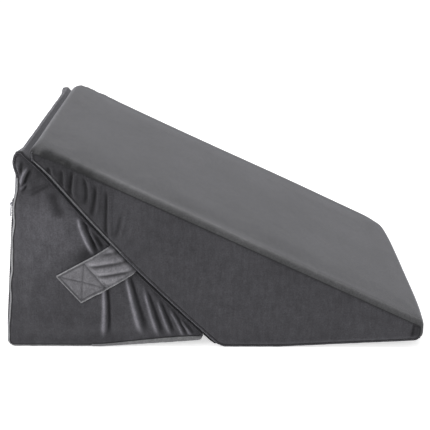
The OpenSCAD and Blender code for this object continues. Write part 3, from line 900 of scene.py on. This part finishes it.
# Painted light and shade over the sides: lighter towards the base's upper back, darker towards its
# foot, painted shadow along the strap's upper edge, painted shade at the top corner, beside the joint
# and on the slope's rolled edges; on the ramp, painted shade overall, more towards its upper corner and
# at the toe's front, and a painted highlight just above its hem
STRAP_SHADOW = (-0.208, 0.170)
x, _, z = base.rest.T
sides = base.of_panel["near"] | base.of_panel["far"]
base.painted_shading += sides * 0.55 * bell(np.hypot((x + 0.262) / 1.3, z - 0.215), 0.062)
base.painted_shading -= sides * 0.15 * (1 - smooth_step(z, 0.01, 0.09)) * (1 - smooth_step(x, -0.2, -0.12))
dx, dz = x - STRAP_SHADOW[0], z - STRAP_SHADOW[1]
along = dx * math.cos(STRAP_RISE) + dz * math.sin(STRAP_RISE)
across = dz * math.cos(STRAP_RISE) - dx * math.sin(STRAP_RISE)
base.painted_shading -= sides * 0.8 * bell(along, 0.034) * bell(across, 0.013)
base.painted_shading -= sides * 0.3 * bell(np.hypot(x + 0.29, z - 0.30), 0.03)
base.painted_shading -= sides * 0.45 * bell((joint_x(z, 0) - x) * math.sin(JOINT_ANGLE), 0.006)
rolled = smooth_step(np.abs(base.rest[:, 1]), HALF_WIDTH - 0.012, HALF_WIDTH - 0.003)
base.painted_shading -= 0.55 * base.of_panel["slope"] * ~sides * rolled
x, _, z = ramp.rest.T
sides = ramp.of_panel["near"] | ramp.of_panel["far"]
ramp.painted_shading -= sides * 0.38 * (1 - smooth_step(x, -0.26, -0.14))
ramp.painted_shading -= sides * (0.06 + 0.45 * bell(x - HALF_LENGTH + 0.004, 0.012))
above_hem = z - np.maximum(x - RAMP_LIFT_X, 0) * math.tan(TOE_TILT) - 0.0065
ramp.painted_shading += sides * 0.38 * bell(above_hem, 0.0028) * smooth_step(x, 0.04, 0.12)

# Zipper's bed
for skin, gap in ((base, base_zip_gap), (ramp, ramp_zip_gap)):
    skin.points -= skin.normals() * (0.0016 * (1 - smooth_step(gap, 0.0055, 0.0085)))[:, None]

pucker(base, 0.0006, 0.012, 0.012, 2)
pucker(ramp, 0.00035, 0.012, 0.010, 4)
groove(base)
groove(ramp)
tuck(base, 0.0028, 0.012)
tuck(ramp, -0.0012, 0.008)
bow_joint(base)
bow_joint(ramp)
keep_clear(base, -1)
keep_clear(ramp, 1)

PANEL_LOOKS = {"top": (VELVET_TOP_PAINTED_LIGHTER, "cover_top"), "bottom": (BOTTOM_CLOTH, "cover_bottom")}
for skin, body, panels in ((base, "base", ("back", "slope", "bottom", "near", "far")),
                           (ramp, "ramp", ("top", "under", "bottom", "near", "far"))):
    for panel in panels:
        material, slot_name = PANEL_LOOKS.get(panel, (VELVET_SIDE, "cover_side"))
        node = f"{body}_{panel}_{'side' if panel in SIGN else 'panel'}"
        skin.piece(f"{body}_{panel}_cover", panel, material, body, node, slot_name)


# --- Foam and lining, hidden inside --------------------------------------------------------------

SIDE_ROOM = 0.009         # room that the sides' folds need beside the foam

for corners, body, slump in ((BASE_CORNERS, "base", slump_top), (RAMP_CORNERS, "ramp", slump_corners)):
    for kind, shrink, material, slot_name in (("liner", 0.0048, LINING, "lining"),
                                              ("foam", 0.0062, FOAM, "foam")):
        inside = Skin(corners, [("all", 0, 0)], coarse=3)
        inside.points -= inside.normals() * shrink
        inside.points[:, 1] *= 1 - (SIDE_ROOM + shrink) / HALF_WIDTH
        slump(inside)
        bow_joint(inside)
        made = mesh_piece(f"{body}_{kind}_block", inside.points, inside.faces, material, body, slot_name,
                          f"{body}_{kind}")


# --- Seams, welts and hems -----------------------------------------------------------------------

def corner_run(skin, a, b):
    """Indices round the profile from the middle of corner a to the middle of corner b."""
    start, end = skin.profile.corner_at[a], skin.profile.corner_at[b]
    return [(start + k) % skin.count for k in range((end - start) % skin.count + 1)]


def edge_points(skin, side, run, row):
    """Indices of the skin's points along a run of the profile, some rows in from one side."""
    return [i * skin.rows + (row if side == "near" else skin.rows - 1 - row) for i in run]


def lifted(skin, index, lift):
    """The skin's points with these indices, lifted off the cloth, and the normals there."""
    n = skin.normals()[index]
    return skin.points[index] + n * lift, n


def cord_on(path, normal, wide, high, name, material, body, slot_name="cover_side"):
    mesh_piece(name, *tube(path, normal, wide, high), material, body, slot_name)


WELT = 0.0014
SHADOW_CORD = 0.0007
SEAM_ROW = 0
EDGE_ROW = 2
HEM_FROM = -0.21
HEM_ROWS = 4              # rows of the roll under the seam that the hem band takes in


HEM_LIFT = 0.0012
HEM_THICK = 0.0010
HEM_STEPS = (1, 0.75, 0.5, 0.25)
BACK_HIGHLIGHT_TOP = 0.3            # height where the painted highlight on the back edge's welt ends


def side_level(skin, side):
    """A function from x and z to how far out a side panel stands there."""
    tree = BVHTree.FromPolygons(skin.points.tolist(),
                                [f for f, p in zip(skin.faces, skin.panel) if p == side])

    def level(x, z):
        hit = tree.ray_cast(Vector((x, SIGN[side] * 0.4, z)), Vector((0, -SIGN[side], 0)))[0]
        return abs(hit.y) if hit else HALF_WIDTH - 0.003
    return level


def border_faces(rows, cols):
    """Faces that join the borders of two grids, the second's points after the first's."""
    size, last = rows * cols, (rows - 1) * cols
    border = [k * cols for k in range(rows)] + [last + j for j in range(1, cols)]
    border += [k * cols + cols - 1 for k in range(rows - 2, -1, -1)] + list(range(cols - 2, 0, -1))
    return [(b, a, a + size, b + size) for a, b in zip(border, border[1:] + border[:1])]


def closed_sheet(top, low, cols, flip):
    """Points and faces of a closed sheet between two grids. flip turns its faces over."""
    rows, faces = len(top) // cols, []
    for k in range(rows - 1):
        for a in range(k * cols, k * cols + cols - 1):
            quad = (a, a + cols, a + cols + 1, a + 1)
            faces += [quad, tuple(v + rows * cols for v in quad[::-1])]
    faces += border_faces(rows, cols)
    return [*top, *low], [f[::-1] for f in faces] if flip else faces


def hem_band(side):
    """The base's lower edge towards its tip: a strip of the bottom panel turned up over the side."""
    level, n, out = side_level(base, side), base.normals(), (0, SIGN[side], 0)
    places, normals, painted_shading = [], [], []
    for i in corner_run(base, 3, 0):
        if base.profile.outer[i][0] <= HEM_FROM:
            continue
        inner = base.profile.inner[i]
        inward = unit(inner - base.profile.outer[i])
        high = 0.0015 + 0.0052 * float(smooth_step(inner[0], HEM_FROM, -0.06))
        high -= 0.0040 * float(smooth_step(inner[0], -0.045, -0.015))
        for t in HEM_STEPS:
            x, z = inner + inward * high * t
            places.append((x, SIGN[side] * level(x, z), z))
            normals.append(out)
            # Painted shadow along the band's upper edge, and slightly lighter paint below it
            painted_shading.append(-0.5 * (t == 1))
        for row in range(HEM_ROWS):
            index = edge_points(base, side, [i], row)[0]
            places.append(base.points[index])
            normals.append(n[index])
            painted_shading.append(0.1)
    places, normals, cols = np.array(places), np.array(normals), len(HEM_STEPS) + HEM_ROWS
    points, faces = closed_sheet(places + normals * HEM_LIFT, places + normals * (HEM_LIFT - HEM_THICK),
                                 cols, side == "far")
    # The band uses the welts' lighter velvet, painted light
    made = mesh_piece(f"base_{side}_hem_band", points, faces, VELVET_WELT_PAINTED_LIT, "base", "cover_side")
    set_painted_shading(made, painted_shading + painted_shading)
    edge = (places + normals * 0.0008)[::cols]
    cord_on(edge, out, SHADOW_CORD, SHADOW_CORD, f"base_{side}_hem_shadow", SEAM_PAINTED_SHADOW, "base")


for side in SIGN:
    hem_band(side)
    # Welts in the lighter velvets carry a painted highlight; the slope welt takes the sides' darker colour,
    # with no seam shadow cord, as painted shade under the ramp's welt
    for skin, body, label, a, b, material, size in (
        (ramp, "ramp", "slant_welt", 0, 1, VELVET_WELT_PAINTED_LIT, 0.45),
        (ramp, "ramp", "blunt_welt", 1, 2, VELVET_SIDE, 0.6),
        (ramp, "ramp", "bottom_welt", 4, 0, VELVET_SIDE, 0.8),
        (ramp, "ramp", "top_seam", 2, 4, None, 0),
        (base, "base", "back_welt", 0, 1, WELT_PAINTED_HIGHLIGHT, 0.9),
        (base, "base", "slope_welt", 1, 3, VELVET_SIDE, 0.5),
        (base, "base", "bottom_welt", 3, 0, VELVET_WELT_PAINTED_LIT, 0.8),
    ):
        run = corner_run(skin, a, b)
        # Each seam but the slope's gets a near-black cord in it, a painted seam shadow
        if label != "slope_welt":
            path, n = lifted(skin, edge_points(skin, side, run, SEAM_ROW), 0.0001)
            cord_on(path, n, SHADOW_CORD, SHADOW_CORD * 0.5, f"{body}_{side}_{label}_thread", SEAM_PAINTED_SHADOW, body)
        if not material:
            continue
        path, n = lifted(skin, edge_points(skin, side, run, EDGE_ROW), 0.0003)
        pieces = [(label, material, np.ones(len(path), bool))]
        # The slanted welt's painted highlight stops above the strap; below, it takes the sides' darker
        # colour
        if label == "slant_welt":
            high = path[:, 2] > STRAP_HEIGHT + 0.01
            pieces = [(label, material, high), ("low_" + label, VELVET_SIDE, ~high)]
        # The back welt's painted highlight stops at the height above; higher up, it takes the sides' colour
        if label == "back_welt":
            high = path[:, 2] > BACK_HIGHLIGHT_TOP
            pieces = [(label, material, ~high), ("high_" + label, VELVET_SIDE, high)]
        for part, cloth, chosen in pieces:
            cord_on(path[chosen], n[chosen], WELT * size, WELT * size * 0.7, f"{body}_{side}_{part}", cloth,
                    body)
for skin, body, label, corner in ((base, "base", "foot", 0), (base, "base", "top", 1),
                                  (base, "base", "tip", 3), (ramp, "ramp", "foot", 0),
                                  (ramp, "ramp", "blunt", 1), (ramp, "ramp", "toe", 4)):
    first = skin.profile.corner_at[corner] * skin.rows
    path, n = lifted(skin, list(range(first, first + skin.rows)), 0.0006)
    path[:, 2] = np.maximum(path[:, 2], 0.0012)
    cord_on(path, n, WELT * 0.8, WELT * 0.6, f"{body}_{label}_cross_welt", VELVET_SIDE, body)


# --- Straps --------------------------------------------------------------------------------------

STRAP_THICK = 0.0026
BOX_LENGTH = 0.051
BOX_SKEW = 0.0045
RIM_INSET = 0.0036
STRAP_ROWS = 31
STRAP_STATIONS = 64
RIM_CORD = 0.0006         # how far in from the strap's edge its rim cord lies


def strap_surface(side):
    """A function from a place on the strap, along it from its stitched end and across it, and a
    height above the side panel, to a point."""
    panel_level = side_level(base, side)
    root = np.array([joint_x(STRAP_HEIGHT, -1), STRAP_HEIGHT])
    ahead = np.array([math.cos(STRAP_RISE), math.sin(STRAP_RISE)])
    over = np.array([-ahead[1], ahead[0]])

    def at(u, v, height):
        xz = root + ahead * (u - STRAP_REACH) + over * v
        level = []
        for du, dv in ((0, 0), (0.008, 0), (-0.008, 0), (0, 0.008), (0, -0.008)):
            x, z = xz + ahead * du + over * dv
            level.append(panel_level(x + bow(z, HALF_WIDTH), z))
        y = 0.6 * max(level) + 0.4 * level[0]
        return np.array([xz[0] + bow(xz[1], HALF_WIDTH), SIGN[side] * (y + height), xz[1]])
    return at


def strap_start(v):
    """Where the strap's stitched end is along it: the end is cut a little askew."""
    return -BOX_SKEW * v / (STRAP_WIDTH / 2)


def box_lines():
    """The stitch lines of the strap's stitched end: a box and its two diagonals."""
    w = STRAP_WIDTH / 2 - RIM_INSET
    a, b, c, d = [(strap_start(v) + u, v) for u, v in
                  ((RIM_INSET, -w), (BOX_LENGTH, -w), (BOX_LENGTH, w), (RIM_INSET, w))]
    return [[a, b], [b, c], [c, d], [d, a], [a, c], [d, b]]


def line_gap(u, v, lines):
    gap = 1.0
    for (u0, v0), (u1, v1) in lines:
        d = np.array([u1 - u0, v1 - v0])
        t = np.clip(((u - u0) * d[0] + (v - v0) * d[1]) / (d @ d), 0, 1)
        gap = min(gap, math.hypot(u - u0 - t * d[0], v - v0 - t * d[1]))
    return gap


def strap_fold(u, v):
    """The lengthwise folds beyond the stitched box, from -1 to 1, and how free the cloth is there."""
    free = float(smooth_step(u - strap_start(v), BOX_LENGTH, BOX_LENGTH + 0.012))
    fan = v + 0.42 * (u - BOX_LENGTH) - 0.002
    wave = math.sin(2 * math.pi * fan / 0.0185) + 0.45 * math.sin(2 * math.pi * fan / 0.0098 + 1.0)
    edge = float(smooth_step(STRAP_WIDTH / 2 - abs(v), 0.002, 0.009))
    return wave / 1.3 * edge * free, free


def strap_height(u, v, lines):
    """Height of the strap's upper face above the side panel."""
    h = STRAP_THICK + 0.0009 - 0.0014 * math.exp(-(line_gap(u, v, lines) / 0.0017) ** 2)
    wave, free = strap_fold(u, v)
    free *= 1 - float(smooth_step(u, strap_length(v) - 0.012, strap_length(v)))
    h += 0.0030 * free * math.cos(math.pi * v / STRAP_WIDTH) + 0.0022 * wave * free
    rim = STRAP_WIDTH / 2 - abs(v)
    h -= 0.0008 * math.exp(-((rim - RIM_INSET) / 0.0013) ** 2)
    return float(h)


def strap_painted_shading(u, v, lines):
    """The strap's painted light: painted highlight on its folds, painted shade between them and along its
    stitching.
    """
    wave, free = strap_fold(u, v)
    tone = 0.7 * max(wave, 0) + 0.62 * min(wave, 0) + 0.05 * free
    return tone - 0.45 * math.exp(-(line_gap(u, v, lines) / 0.0011) ** 2)


def strap_length(v):
    """Distance along the strap to the joint, which crosses it at a slant."""
    slant = JOINT_ANGLE + STRAP_RISE - math.pi / 2
    return STRAP_REACH + v * math.tan(slant)


def build_strap(side):
    at, lines, out = strap_surface(side), box_lines(), (0, SIGN[side], 0)
    top, low, painted_shading = [], [], []
    for k in range(STRAP_STATIONS + 1):
        for v in np.linspace(-STRAP_WIDTH / 2, STRAP_WIDTH / 2, STRAP_ROWS):
            start, end = strap_start(v), strap_length(v)
            u = start + (end - start) * k / STRAP_STATIONS
            painted_shading.append(strap_painted_shading(u, v, lines))
            sink = -0.005 * smooth_step(u, end - 0.0035, end)
            corner = 0.0012 * math.exp(-min(STRAP_WIDTH / 2 - abs(v), u - start) / 0.0012)
            top.append(at(u, v, strap_height(u, v, lines) - corner + sink))
            low.append(at(u, v, 0.0003 + corner * 0.8 + sink))
    made = mesh_piece(f"{side}_strap_cloth", *closed_sheet(top, low, STRAP_ROWS, side == "near"),
                      VELVET_STRAP, "base", "strap_webbing", f"{side}_strap")
    set_painted_shading(made, painted_shading + painted_shading)
    w = STRAP_WIDTH / 2 - RIM_CORD
    rim = [(u, w) for u in np.linspace(strap_length(w) - 0.004, strap_start(w) + RIM_CORD, 40)]
    rim += [(u, -w) for u in np.linspace(strap_start(-w) + RIM_CORD, strap_length(-w) - 0.004, 40)]
    path = spaced([at(u, v, strap_height(u, v, lines) - 0.0007) for u, v in rim], 0.002)
    # A raised rim cord, painted lighter as a painted sheen along the strap's edge
    cord_on(path, out, 0.0009, 0.0008, f"{side}_strap_rim", STRAP_RIM_PAINTED_SHEEN, "base", "strap_webbing")
    rows = [[(u0 + (u1 - u0) * f, v0 + (v1 - v0) * f) for f in np.linspace(0, 1, 24)]
            for (u0, v0), (u1, v1) in lines]
    for v in (w - RIM_INSET + RIM_CORD, -w + RIM_INSET - RIM_CORD):
        rows.append([(u, v) for u in np.linspace(BOX_LENGTH + strap_start(v), strap_length(v) - 0.01, 24)])
    parts = [stitches([at(u, v, strap_height(u, v, lines) + 0.0002) for u, v in row], out) for row in rows]
    mesh_piece(f"{side}_strap_stitches", *joined(parts), THREAD, "base", "strap_webbing")


for side in SIGN:
    build_strap(side)


# --- Zippers -------------------------------------------------------------------------------------

TAPE_HALF = 0.0052
TAPE_LEVEL = -0.0006
TAPE_THICK = 0.0005
COIL_TOP = 0.001
TOOTH_PITCH = 0.0016
BAR_LEVEL = 0.0047
SLIDER_LENGTH = 0.013
EYE_RADIUS = 0.00145
TAB_THICK = 0.0012
UP = np.array([0, 0, 1.0])  # out of the cloth, in a zipper's own frame


def tape(path):
    path, _, beside, _ = frames_along(path, UP)
    section = [(x, TAPE_LEVEL - down) for x, down in
               ((-TAPE_HALF, 0), (TAPE_HALF, 0), (TAPE_HALF, TAPE_THICK), (-TAPE_HALF, TAPE_THICK))]
    return [p + b * x + UP * z for p, b in zip(path, beside) for x, z in section], ring_faces(len(path), 4)


def teeth(path):
    """The closed coil: two rows of rounded teeth that mesh along the path."""
    path, ahead, beside, _ = frames_along(spaced(path, TOOTH_PITCH), UP)
    parts = []
    for k, (p, a, b) in enumerate(zip(path, ahead, beside)):
        out = b if k % 2 else -b
        line = [p - out * 0.0005 + UP * 0.0002, p + out * 0.0003 + UP * COIL_TOP * 0.7,
                p + out * 0.0013 + UP * COIL_TOP * 0.7, p + out * 0.0021 - UP * 0.0003]
        parts.append(tube(line, a, 0.00042, 0.0005, 6))
    return joined(parts)


def end_stops(path):
    """A clip over the teeth at each end of the zipper, with two fine wires beside it."""
    parts = []
    for end, step in ((path[0], path[1] - path[0]), (path[-1], path[-2] - path[-1])):
        a = unit(step)
        b = np.cross(a, UP)
        for level in (0.0004, 0.0013):
            line = [end + a * f - b * 0.0028 + UP * level for f in (0.0002, 0.0028)]
            parts.append(tube(line, UP, 0.0001, 0.0001, 4))
        section = ((-0.003, -0.0004), (-0.0027, 0.0010), (-0.0014, 0.0016), (0.0014, 0.0016),
                   (0.0027, 0.0010), (0.003, -0.0004))
        parts.append(tube([end + a * 0.0015 + b * v + UP * h for v, h in section], a, 0.0003, 0.0014))
    return joined(parts)


def place_piece(matrix, shape, name, *details):
    """A piece whose points and faces are made in the frame of a zipper."""
    mesh_piece(name, placed(matrix, shape[0]), shape[1], *details)


def build_zipper(matrix, path, label, body):
    _, _, beside, _ = frames_along(path, UP)
    lips = [tube(path + beside * side * 0.0064 + UP * 0.0002, UP, 0.0021, 0.0012) for side in (-1, 1)]
    rows = [stitches(path + beside * side * 0.0072 + UP * 0.0013, UP) for side in (-1, 1)]
    for shape, name, material, slot_name, *nodes in (
        (tape(path), "tape_cloth", TAPE_CLOTH, "zipper_tape", "tape"),
        (teeth(path[3:-3]), "teeth", NYLON, "zipper_coil", "coil"),
        (joined(lips), "lips", VELVET_SIDE, "cover_side"),
        (joined(rows), "stitches", THREAD, "cover_side"),
        (end_stops(path), "end_stops", METAL, "zipper_metal", "stops"),
    ):
        place_piece(matrix, shape, f"{label}_{name}", material, body, slot_name,
                    *(f"{label}_{node}" for node in nodes))


def slider_body():
    """A zipper slider: a waisted plate with two flanges, and a bridge for the pull. Its length is y."""
    ring = [(-1, -0.0005), (-1, 0.0016), (-0.93, 0.0022), (-0.7, 0.0025), (0, 0.0027), (0.7, 0.0025),
            (0.93, 0.0022), (1, 0.0016), (1, -0.0005), (0.56, -0.0005), (0.54, 0.0013), (-0.54, 0.0013),
            (-0.56, -0.0005)]
    points, stations = [], np.linspace(-1, 1, 17)
    for t in stations:
        half_width = 0.0045 - 0.0011 * (0.5 + 0.5 * t) ** 1.5 - 0.0006 * abs(t) ** 8
        for x, z in ring:
            across = x * half_width
            if 0 < abs(x) <= 0.6:
                across = math.copysign(max(abs(across), 0.0023), x)
            points.append((across, t * SLIDER_LENGTH / 2, z - 0.0004 * abs(t) ** 6 * (z > 0.002)))
    parts = [(points, ring_faces(len(stations), len(ring)))]
    for x in (-0.002, 0.002):
        line = [(x, -0.0026, 0.0022), (x, -0.0019, 0.0045), (x, -0.0009, 0.0057), (x, 0.0009, 0.0057),
                (x, 0.0019, 0.0045), (x, 0.0026, 0.0022)]
        parts.append(tube(line, (1, 0, 0), 0.0006, 0.00045))
    parts.append(tube([(-0.0021, 0, BAR_LEVEL), (0.0021, 0, BAR_LEVEL)], UP, 0.00078, 0.00078, 14))
    return joined(parts)


def pull_tab():
    """A pull tab that hangs along -y from its eye, with a punched hole near its end."""
    points, faces, around = [], [], 24
    for t in np.linspace(0, 2 * math.pi, around + 1)[:-1]:
        for dx, dr in ((-0.0012, -0.0005), (-0.0012, 0.0005), (0.0012, 0.0005), (0.0012, -0.0005)):
            k = 1 + dr / EYE_RADIUS
            points.append((dx, EYE_RADIUS * math.cos(t) * k, EYE_RADIUS * math.sin(t) * k))
    for k in range(around):
        for s in range(4):
            here, after = 4 * k, 4 * ((k + 1) % around)
            faces.append((here + s, here + (s + 1) % 4, after + (s + 1) % 4, after + s))
    parts = [(points, faces)]
    left = [(-0.0011, -0.0019), (-0.0012, -0.0036), (-0.0024, -0.0052), (-0.0026, -0.0085),
            (-0.0023, -0.0125), (-0.00275, -0.0165), (-0.0027, -0.0195), (-0.0019, -0.0214),
            (-0.0008, -0.022)]
    outline = left + [(-x, y) for x, y in left[::-1]]
    hole = [(0.0011 * math.cos(t), -0.0182 + 0.0016 * math.sin(t)) for t in
            np.linspace(0, 2 * math.pi, 17)[:-1]]
    flat = [Vector(p) for p in outline + hole]
    m, h = len(outline), len(hole)
    edges = [(i, (i + 1) % m) for i in range(m)] + [(m + i, m + (i + 1) % h) for i in range(h)]
    out = geometry.delaunay_2d_cdt(flat, edges, [], 1, 1e-7)
    source = [o[0] for o in out[3]]
    faces = []
    for f in (tuple(source[v] for v in f) for f in out[2]):
        if not all(v >= m for v in f):
            turn = (flat[f[1]] - flat[f[0]]).cross(flat[f[2]] - flat[f[0]])
            faces.append(f if turn > 0 else f[::-1])
    points = [(p.x, p.y, z) for z in (TAB_THICK / 2, -TAB_THICK / 2) for p in flat]
    faces += [tuple(v + m + h for v in f[::-1]) for f in faces]
    faces += [(a, b, b + m + h, a + m + h) for a, b in edges]
    return joined(parts + [(points, faces)])


build_zipper(BACK_FRAME, back_zip_path(ZIP_STEP), "base_zipper", "base")
build_zipper(TOE_FRAME, toe_zip_path(ZIP_STEP), "ramp_zipper", "ramp")
stop_gap = 0.003 + 0.0002 + SLIDER_LENGTH / 2
back_slider = BACK_FRAME @ Matrix.Translation((ZIP_SIDE_X, ZIP_TOP - stop_gap, 0))
toe_slider = TOE_FRAME @ Matrix.Translation((-TOE_ZIP_HALF + stop_gap, TOE_ZIP_Y, 0))
toe_slider = toe_slider @ Matrix.Rotation(math.pi / 2, 4, "Z")
for matrix, shape, name, body, node in (
    (back_slider, slider_body(), "base_slider_body", "base_slider", "base_zipper_slider"),
    (toe_slider, slider_body(), "ramp_slider_body", "ramp_slider", "ramp_zipper_slider"),
    (back_slider @ Matrix.Translation((0, 0, BAR_LEVEL)), pull_tab(), "base_pull_tab", "base_pull",
     "base_zipper_pull"),
):
    place_piece(matrix, shape, name, METAL, body, "zipper_metal", node)


# --- Cloth hinge and grip dots -------------------------------------------------------------------

HINGE_HALF = HALF_WIDTH - 0.012
HINGE_THICK = 0.0006
HINGE_COLUMNS = 60


def build_hinge():
    """One strip of cloth from the base's tip seam, down to the fold line and up to the ramp's foot."""
    tip = base.points[base.profile.corner_at[3] * base.rows + base.rows // 2][[0, 2]]
    foot = ramp.points[ramp.profile.corner_at[0] * ramp.rows + ramp.rows // 2][[0, 2]]
    low = np.array([HINGE.x, HINGE.z])
    line = [tip * (1 - f) + low * f for f in np.linspace(0, 1, 9)]
    line += [low * (1 - f) + foot * f for f in np.linspace(0, 1, 6)[1:]]
    rows, cols = len(line), HINGE_COLUMNS + 1
    points, faces = [], []
    for lift in (HINGE_THICK * 0.5, -HINGE_THICK * 0.5):
        for k, (x, z) in enumerate(line):
            deep = 0.0005 * math.sin(math.pi * k / (rows - 1))
            for c in range(cols):
                y = -HINGE_HALF + 2 * HINGE_HALF * c / HINGE_COLUMNS
                sag = deep * math.sin(9 * math.pi * c / HINGE_COLUMNS + k)
                points.append((x + lift, y, z + sag + lift))
    for k in range(rows - 1):
        for a in range(k * cols, k * cols + HINGE_COLUMNS):
            quad = (a, a + 1, a + cols + 1, a + cols)
            faces += [quad[::-1], tuple(v + rows * cols for v in quad)]
    faces += border_faces(rows, cols)
    strip = mesh_piece("hinge_strip", points, faces, HINGE_CLOTH, None, "hinge_cloth",
                       "hinge_leaf_base", "hinge_leaf_ramp")
    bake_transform(strip)


DOT_RADIUS = 0.0016
DOT_STEP = 0.016
DOT_RINGS = ((1, 0.0007), (1, 0.0002), (0.6, 0.00005))   # share of the radius, height


def grip_dots(x_from, x_to, body):
    """Small rubber dots under the part of a wedge that stands on the floor."""
    faces = [tuple(range(8)), tuple(range(16, 24))[::-1]]
    for ring in (0, 8):
        faces += [(ring + k, ring + (k + 1) % 8, ring + 8 + (k + 1) % 8, ring + 8 + k)[::-1]
                  for k in range(8)]
    parts = []
    for r in range(int((x_to - x_from) / (DOT_STEP * 0.87)) + 1):
        x = x_from + r * DOT_STEP * 0.87
        for c in range(int(2 * (HALF_WIDTH - 0.02) / DOT_STEP)):
            y = -HALF_WIDTH + 0.02 + (c + 0.5 * (r % 2)) * DOT_STEP
            points = [(x + share * DOT_RADIUS * math.cos(t), y + share * DOT_RADIUS * math.sin(t), z)
                      for share, z in DOT_RINGS for t in np.linspace(0, 2 * math.pi, 9)[:-1]]
            parts.append((points, faces))
    mesh_piece(f"{body}_grip_dots", *joined(parts), GRIP, body, "cover_bottom")


build_hinge()
grip_dots(-HALF_LENGTH + 0.022, BASE_LIFT_X, "base")
grip_dots(0.03, RAMP_LIFT_X, "ramp")


# --- Stage, camera and light ---------------------------------------------------------------------

FLOOR_HALF = 40


def build_stage():
    mesh = bpy.data.meshes.new("floor")
    corners = [(x * FLOOR_HALF, y * FLOOR_HALF, 0) for x, y in ((-1, -1), (1, -1), (1, 1), (-1, 1))]
    mesh.from_pydata(corners, [], [(0, 1, 2, 3)])
    floor = bpy.data.objects.new("floor", mesh)
    bpy.context.scene.collection.objects.link(floor)
    m, tree, shader, _ = new_material("pale_floor")
    feed(tree, shader, Base_Color=(0.9, 0.9, 0.9, 1), Roughness=0.9, Emission_Color=(1, 1, 1, 1),
         Emission_Strength=0.6)
    mesh.materials.append(m)
    floor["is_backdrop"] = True


def area_light(name, place, aim, size, power):
    light = bpy.data.lights.new(name, "AREA")
    light.shape = "RECTANGLE"
    light.size, light.size_y = size
    light.energy = power
    made = bpy.data.objects.new(name, light)
    made.location = place
    made.rotation_euler = (Vector(aim) - Vector(place)).to_track_quat("-Z", "Y").to_euler()
    bpy.context.scene.collection.objects.link(made)


def build_light():
    world = bpy.data.worlds.new("studio")
    world.use_nodes = True
    tree = world.node_tree
    feed(tree, tree.nodes["Background"], Color=(1, 1, 1, 1), Strength=0.5)
    bpy.context.scene.world = world
    area_light("top_softbox", (-0.2, 0.1, 2.4), (0, 0, 0.1), (2.6, 2.2), 40)
    area_light("left_softbox", (-2.1, -1.8, 1.0), (-0.1, 0, 0.15), (1.2, 1.2), 42)
    bpy.context.scene.view_settings.view_transform = "Standard"


def build_camera():
    camera = bpy.data.cameras.new("camera")
    camera.lens = 81.74
    camera.sensor_width = 36
    made = bpy.data.objects.new("camera", camera)
    made.location = (0.01175, -1.7303, 0.7582)
    made.rotation_euler = (math.radians(90 - 19.386), 0, math.radians(0.425))
    bpy.context.scene.collection.objects.link(made)
    bpy.context.scene.camera = made


build_stage()
build_light()
build_camera()

low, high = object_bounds()
